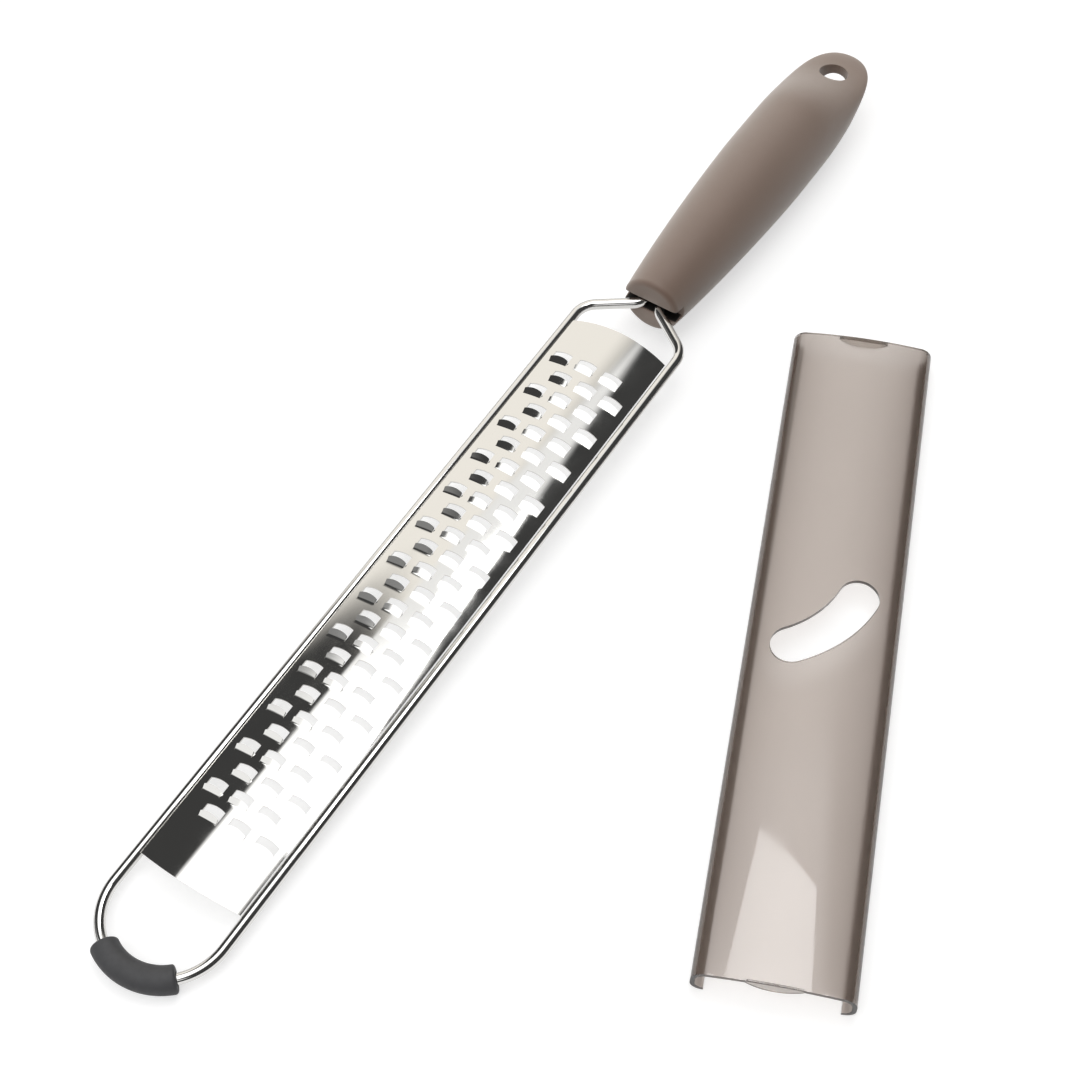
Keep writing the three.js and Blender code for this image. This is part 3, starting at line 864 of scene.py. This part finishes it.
class GRATER_OT_cover(bpy.types.Operator):
    """Moulds the cover: a bowed top, a curled rail along each side, a window and a stop at each end"""

    bl_idname = "grater.cover"
    bl_label = "Cover"

    STEPS = 14  # along each arc
    RINGS = 30  # along the length
    END_RING = 1.2 * MM  # from each end to a ring that keeps the rounded ends from bending the shading

    def execute(self, context):
        grater = context.scene.grater
        cover = grater.cover
        place = Matrix.Translation((cover.place_x, cover.place_y, 0)) @ Matrix.Rotation(cover.yaw, 4, "Z")
        upright = place @ Matrix.Rotation(math.pi / 2, 4, "X")
        half_spacing = grater.wire.spacing / 2
        self.rail = grater.wire.diameter / 2 + cover.slide_gap + cover.wall
        self.top = self.rail + grater.blade.crown + grater.blade.tooth_room + cover.tooth_clearance + cover.wall
        ends = SEAT_GAP + cover.tab_thickness
        length = blade_length(grater) + 2 * ends
        section = self.section(cover, half_spacing)
        inner = length / 2 - self.END_RING
        stops = [-length / 2, *[inner * (2 * i / self.RINGS - 1) for i in range(self.RINGS + 1)], length / 2]
        rings = [[Vector((p.x, p.y, z)) for p in section] for z in stops]
        piece = add_mesh("smoked_cover", *skin(rings, caps=True), upright)
        window = prism(self.window_outline(cover), 4 * self.top)
        turned = Matrix.Translation((0, cover.window_offset, 0)) @ Matrix.Rotation(cover.window_turn, 4, "Z")
        cut_or_join(piece, add_mesh("window", *window, place @ turned), "DIFFERENCE")
        for side in (-1, 1):
            shift = Matrix.Translation((0, 0, side * (length - cover.tab_thickness) / 2))
            tab = add_mesh("tab", *prism(self.tab_outline(cover), cover.tab_thickness), upright @ shift)
            cut_or_join(piece, tab, "UNION")
        round_edges(piece, cover.edge, segments=2, angle=50)
        dress(piece, "cover", cover_plastic(cover, half_spacing + self.rail), sharp=50)
        return {"FINISHED"}

    def side(self, cover, half_spacing, depth):
        """Right half of the section at a depth under its outer face, from the middle to the hook's tip."""
        side_x = half_spacing + self.rail
        shoulder_x = side_x - cover.shoulder
        crown = arc_radius(shoulder_x, cover.crown_bow)
        lean = math.asin(shoulder_x / crown)
        start = math.pi / 2 - lean
        shoulder_z = self.top - cover.crown_bow - cover.shoulder * math.cos(lean)
        points = arc((0, self.top - crown), crown - depth, math.pi / 2, start, self.STEPS)
        points += arc((shoulder_x, shoulder_z), cover.shoulder - depth, start, 0, self.STEPS)[1:]
        points += arc((half_spacing, self.rail), self.rail - depth, 0, -cover.hook_angle, 2 * self.STEPS)
        return points

    def section(self, cover, half_spacing):
        outer = self.side(cover, half_spacing, 0)
        inner = self.side(cover, half_spacing, cover.wall)
        mirrored = [[Vector((-p.x, p.y)) for p in line[1:]] for line in (inner, outer)]
        return outer + inner[::-1] + mirrored[0] + mirrored[1][::-1]

    def window_outline(self, cover):
        half_span, half_width = cover.window_span / 2, cover.window_width / 2
        bow = arc_radius(half_span, cover.window_bow)
        half = math.asin(half_span / bow)
        centre = (0, bow - cover.window_bow)
        down = -math.pi / 2
        points = arc(centre, bow + half_width, down - half, down + half, 24)
        points += arc((half_span, 0), half_width, down + half, down + half + math.pi, 20)[1:]
        points += arc(centre, bow - half_width, down + half, down - half, 24)[1:]
        points += arc((-half_span, 0), half_width, math.pi + down - half, 2 * math.pi + down - half, 20)[1:-1]
        return points

    def tab_outline(self, cover):
        half = cover.tab_width / 2
        radius = arc_radius(half, cover.tab_depth)
        lean = math.asin(half / radius)
        root = self.top - cover.wall
        down = -math.pi / 2
        points = arc((0, root - cover.tab_depth + radius), radius, down - lean, down + lean, 20)
        return points + [Vector((half, root + cover.wall / 2)), Vector((-half, root + cover.wall / 2))]


# Stage


class GRATER_OT_stage(bpy.types.Operator):
    """Sets the pale table, the soft studio light and the camera"""

    bl_idname = "grater.stage"
    bl_label = "Stage"

    TARGET = Vector((14.5, 175.9, 0)) * MM
    DISTANCE = 629.7 * MM
    SIDE, DOWN = math.radians(33.08), math.radians(54.94)
    FOCAL_PIXELS = 2097
    TABLE_HALF = 60.0  # metres

    # Pale surfaces of the studio as seen from the grater: corners at X and Y on a ceiling one unit
    # up, in turn anticlockwise, each with the softness of the edge that starts there
    SOFTBOX = [(-0.5, 0.36, 0.03), (-0.6, 0.2, 0.02), (-0.64, -1.0, 0.02), (0.4, -1.0, 0.02), (0.3, 0.36, 0.03)]
    CEILING = [(-0.1, 0.6, 0.03), (-0.5, 0.4, 0.02), (-0.55, 0.3, 0.02), (0.33, 0.3, 0.03)]
    BACK_WALL = [
        (-0.16, 0.57, 0.24), (-0.02, 4.0, 0.1), (-6.0, 4.0, 0.1), (-6.0, 1.97, 0.03), (-0.6, 0.42, 0.03), (-0.3, 0.36, 0.03),
    ]
    FRONT_WALL = [(-0.6, -0.72, 0.02), (-2.6, -1.2, 0.1), (-2.6, -2.2, 0.1), (1.2, -2.2, 0.1), (1.2, -0.95, 0.05)]
    FRONT_DOOR = [(-0.62, -0.635, 0.02), (-3.5, -0.635, 0.1), (-3.5, -2.2, 0.1), (-0.62, -2.2, 0.1)]

    # A brighter lamp, near enough for the cover to mirror it where the blade doesn't
    LAMP_HEIGHT = 800 * MM
    LAMP = [(-0.12, 0.477), (-0.12, 0.25), (0.352, 0.25), (0.1, 0.528)]

    def execute(self, context):
        stage = context.scene.grater.stage
        self.add_floor(stage)
        self.add_lamp(stage)
        self.add_world(context.scene, stage)
        self.add_camera(context.scene)
        context.scene.view_settings.view_transform = "Standard"
        return {"FINISHED"}

    def add_floor(self, stage):
        half = self.TABLE_HALF
        corners = [Vector((x, y, 0)) for x, y in ((-half, -half), (half, -half), (half, half), (-half, half))]
        floor = add_mesh("table", corners, [(0, 1, 2, 3)])
        material, tree, shader = start_material("matt_white_laminate", Base_Color=stage.floor_colour, Roughness=0.9)
        path = add(tree, "ShaderNodeLightPath")
        seen = path.outputs["Is Camera Ray"]
        for name in ("Is Glossy Ray", "Is Transmission Ray"):
            seen = add(tree, "ShaderNodeMath", {0: seen, 1: path.outputs[name]}, operation="MAXIMUM").outputs[0]
        glow = add(tree, "ShaderNodeMath", {0: seen, 1: stage.floor_glow}, operation="MULTIPLY").outputs[0]
        shader.inputs["Emission Color"].default_value = (1, 1, 1, 1)
        tree.links.new(glow, shader.inputs["Emission Strength"])
        floor.data.materials.append(material)

    def add_lamp(self, stage):
        corners = [Vector((x, y, self.LAMP_HEIGHT)) for x, y in self.LAMP]
        lamp = add_mesh("lamp", corners, [(0, 1, 2, 3)])
        lamp.visible_camera = False
        material = start_material(
            "lamp_diffuser", Base_Color=(0, 0, 0, 1), Emission_Color=(1, 1, 1, 1), Emission_Strength=stage.lamp
        )[0]
        lamp.data.materials.append(material)

    def add_panel(self, tree, direction, corners):
        """How far a direction lies inside a pale surface, from 0 to 1."""
        share = None
        for (ax, ay, softness), (bx, by, _) in zip(corners, corners[1:] + corners[:1]):
            edge = Vector((ax, ay, 1)).cross(Vector((bx, by, 1))).normalized()
            inside = add(tree, "ShaderNodeVectorMath", {0: direction, 1: edge}, operation="DOT_PRODUCT")
            soft = add(
                tree, "ShaderNodeMapRange",
                {"Value": inside.outputs["Value"], "From Min": -softness, "From Max": softness},
                interpolation_type="SMOOTHSTEP",
            ).outputs["Result"]
            if share is None:
                share = soft
            else:
                share = add(tree, "ShaderNodeMath", {0: share, 1: soft}, operation="MULTIPLY").outputs[0]
        return share

    def add_world(self, scene, stage):
        world = bpy.data.worlds.new("studio")
        scene.world = world
        world.use_nodes = True
        tree = world.node_tree
        tree.nodes.clear()
        direction = add(tree, "ShaderNodeTexCoord").outputs["Generated"]
        light = (stage.room_light,) * 3 + (1,)
        for corners, strength, tint in (
            (self.FRONT_DOOR, stage.door_light, "FFFFFF"),
            (self.BACK_WALL, stage.wall_light, "FFFBF4"),
            (self.FRONT_WALL, stage.wall_light, "FFFFFF"),
            (self.CEILING, stage.ceiling_light, "FFFFFF"),
            (self.SOFTBOX, stage.softbox, "FFFFFF"),
        ):
            share = self.add_panel(tree, direction, corners)
            lit = [c * strength for c in linear(tint)[:3]] + [1]
            light = add(tree, "ShaderNodeMix", {0: share, 6: light, 7: lit}, data_type="RGBA").outputs[2]
        background = add(tree, "ShaderNodeBackground", {"Color": light, "Strength": 1.0})
        add(tree, "ShaderNodeOutputWorld", {"Surface": background.outputs[0]})

    def add_camera(self, scene):
        data = bpy.data.cameras.new("camera")
        data.sensor_width = SENSOR
        data.lens = self.FOCAL_PIXELS / PHOTO_SIDE * SENSOR
        camera = bpy.data.objects.new("camera", data)
        scene.collection.objects.link(camera)
        flat = math.cos(self.DOWN)
        back = Vector((flat * math.sin(self.SIDE), -flat * math.cos(self.SIDE), math.sin(self.DOWN)))
        camera.location = self.TARGET + self.DISTANCE * back
        camera.rotation_euler = (-back).to_track_quat("-Z", "Y").to_euler()
        scene.camera = camera


class GRATER_PT_parts(bpy.types.Panel):
    """Lists the pieces of the grater and its stage"""

    bl_idname = "GRATER_PT_parts"
    bl_label = "Grater"
    bl_space_type = "VIEW_3D"
    bl_region_type = "UI"
    bl_category = "Grater"

    def draw(self, context):
        for operator in OPERATORS:
            self.layout.operator(operator.bl_idname)


OPERATORS = (
    GRATER_OT_wire_frame,
    GRATER_OT_end_foot,
    GRATER_OT_blade,
    GRATER_OT_grip,
    GRATER_OT_core,
    GRATER_OT_cover,
    GRATER_OT_stage,
)
SETTINGS = (
    WireSettings, FootSettings, BladeSettings, HandleSettings, CoverSettings, StageSettings, GraterSettings,
)
CLASSES = (*SETTINGS, *OPERATORS, GRATER_PT_parts)


def register():
    for item in CLASSES:
        bpy.utils.register_class(item)
    bpy.types.Scene.grater = bpy.props.PointerProperty(
        name="Grater", description="Sizes and colours of the grater", type=GraterSettings
    )


def unregister():
    del bpy.types.Scene.grater
    for item in reversed(CLASSES):
        bpy.utils.unregister_class(item)


def main():
    register()
    bpy.ops.grater.wire_frame()
    bpy.ops.grater.end_foot()
    bpy.ops.grater.blade()
    bpy.ops.grater.grip()
    bpy.ops.grater.core()
    bpy.ops.grater.cover()
    bpy.ops.grater.stage()


if __name__ == "__main__":
    main()
